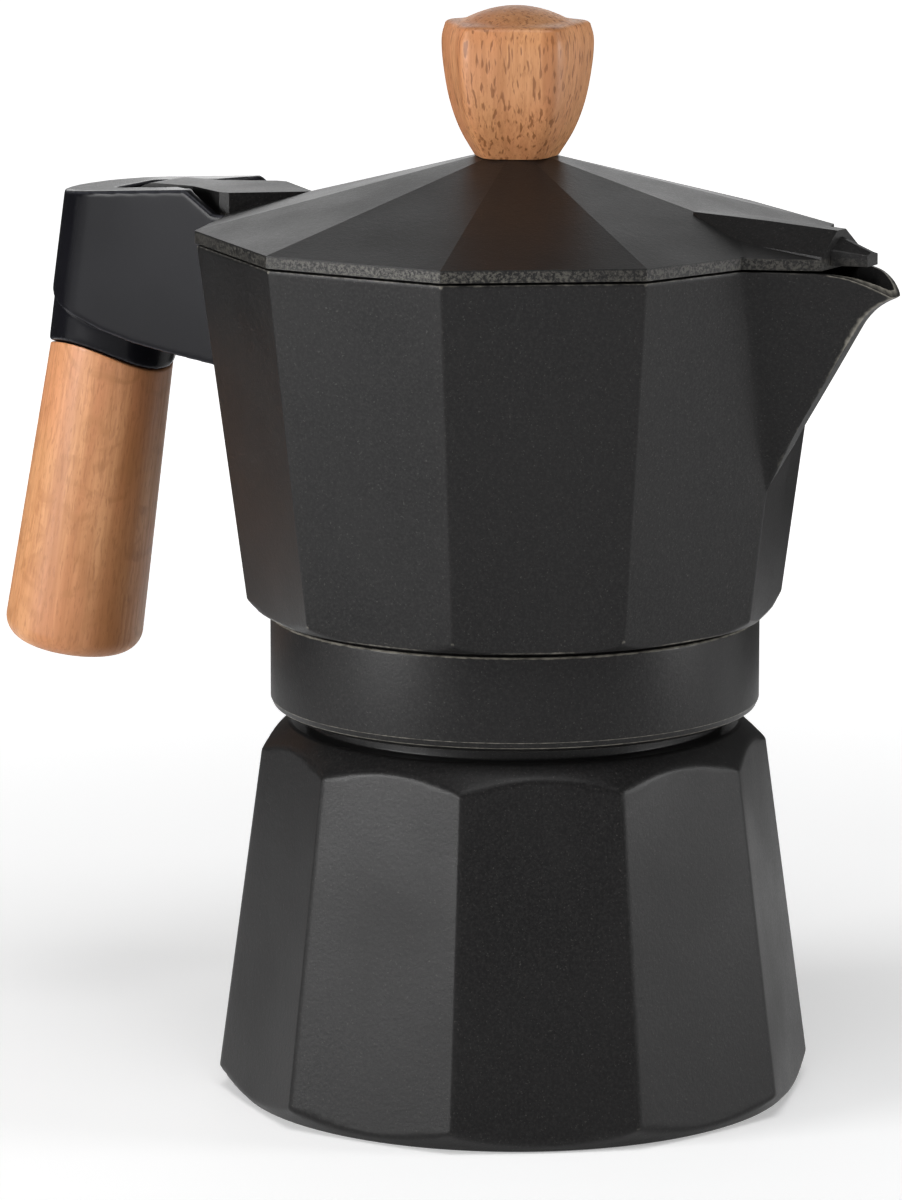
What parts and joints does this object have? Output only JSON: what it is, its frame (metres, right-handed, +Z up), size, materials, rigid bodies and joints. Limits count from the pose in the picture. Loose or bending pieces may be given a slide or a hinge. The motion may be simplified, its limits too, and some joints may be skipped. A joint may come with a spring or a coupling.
{
  "type": "moka pot",
  "caption": "Stovetop coffee maker with a faceted black boiler and collector, hinged lid with knob, angled wooden grip, inner funnel, filter plate, gasket and safety valve.",
  "frame": {"origin": "centre of the round base, on the surface that the pot stands on", "axes": "+Z up along the pot axis, +X towards the spout, handle at -X"},
  "size_m": [0.1583, 0.0932, 0.1671],
  "materials": {
    "cast_black": "matt black cast",
    "black_plastic": "smooth moulded, satin",
    "beech": "oiled beech",
    "bare_aluminium": "satin",
    "steel": "zinc plated",
    "brass": "machined",
    "silicone": "matt",
    "fibre": "matt"
  },
  "bodies": {
    "boiler_body": {"boiler": "cast_black", "valve_body": "brass", "valve_seal": "fibre", "valve_retainer": "brass", "valve_spring": "steel"},
    "valve_stem": {"valve_pin": "steel"},
    "funnel": {"funnel_basket": "bare_aluminium", "funnel_sieve": "bare_aluminium", "funnel_stem": "bare_aluminium"},
    "seal": {"gasket": "silicone"},
    "filter": {"filter_plate": "bare_aluminium"},
    "upper": {"collector": "cast_black", "riser_column": "bare_aluminium", "handle_bracket": "black_plastic", "bracket_screw": "steel", "hinge_pin": "steel", "grip": "beech", "grip_insert": "brass", "grip_washer": "steel", "grip_screw": "steel"},
    "lid_body": {"lid": "cast_black", "knob": "beech", "knob_insert": "brass", "knob_washer": "steel", "knob_screw": "steel"}
  },
  "joints": [
    {"name": "valve_pop", "type": "slide", "parent": "boiler_body", "child": "valve_stem", "axis": [-0.0196, 0.9915, 0.1283], "range_m": [0, 0.0012], "stiffness_N_per_m": 1500, "springref_m": -0.001, "deforming": ["valve_spring"]},
    {"name": "funnel_lift", "type": "slide", "parent": "boiler_body", "child": "funnel", "axis": [0, 0, 1], "range_m": [0, 0.07]},
    {"name": "collector_lift_off", "type": "slide", "parent": "funnel", "child": "seal", "axis": [0, 0, 1], "range_m": [0, 0.06]},
    {"name": "collector_rise", "type": "slide", "parent": "seal", "child": "filter", "axis": [0, 0, 1], "range_m": [0, 0.008]},
    {"name": "collector_turn", "type": "hinge", "parent": "filter", "child": "upper", "pos_m": [0, 0, 0.07], "axis": [0, 0, 1], "range_deg": [0, 900]},
    {"name": "lid_hinge", "type": "hinge", "parent": "upper", "child": "lid_body", "pos_m": [-0.063, 0, 0.1314], "axis": [0, -1, 0], "range_deg": [0, 100]}
  ],
  "couplings": [
    {"joint": "collector_rise", "follows": "collector_turn", "m_per_rad": 0.0005093}
  ]
}
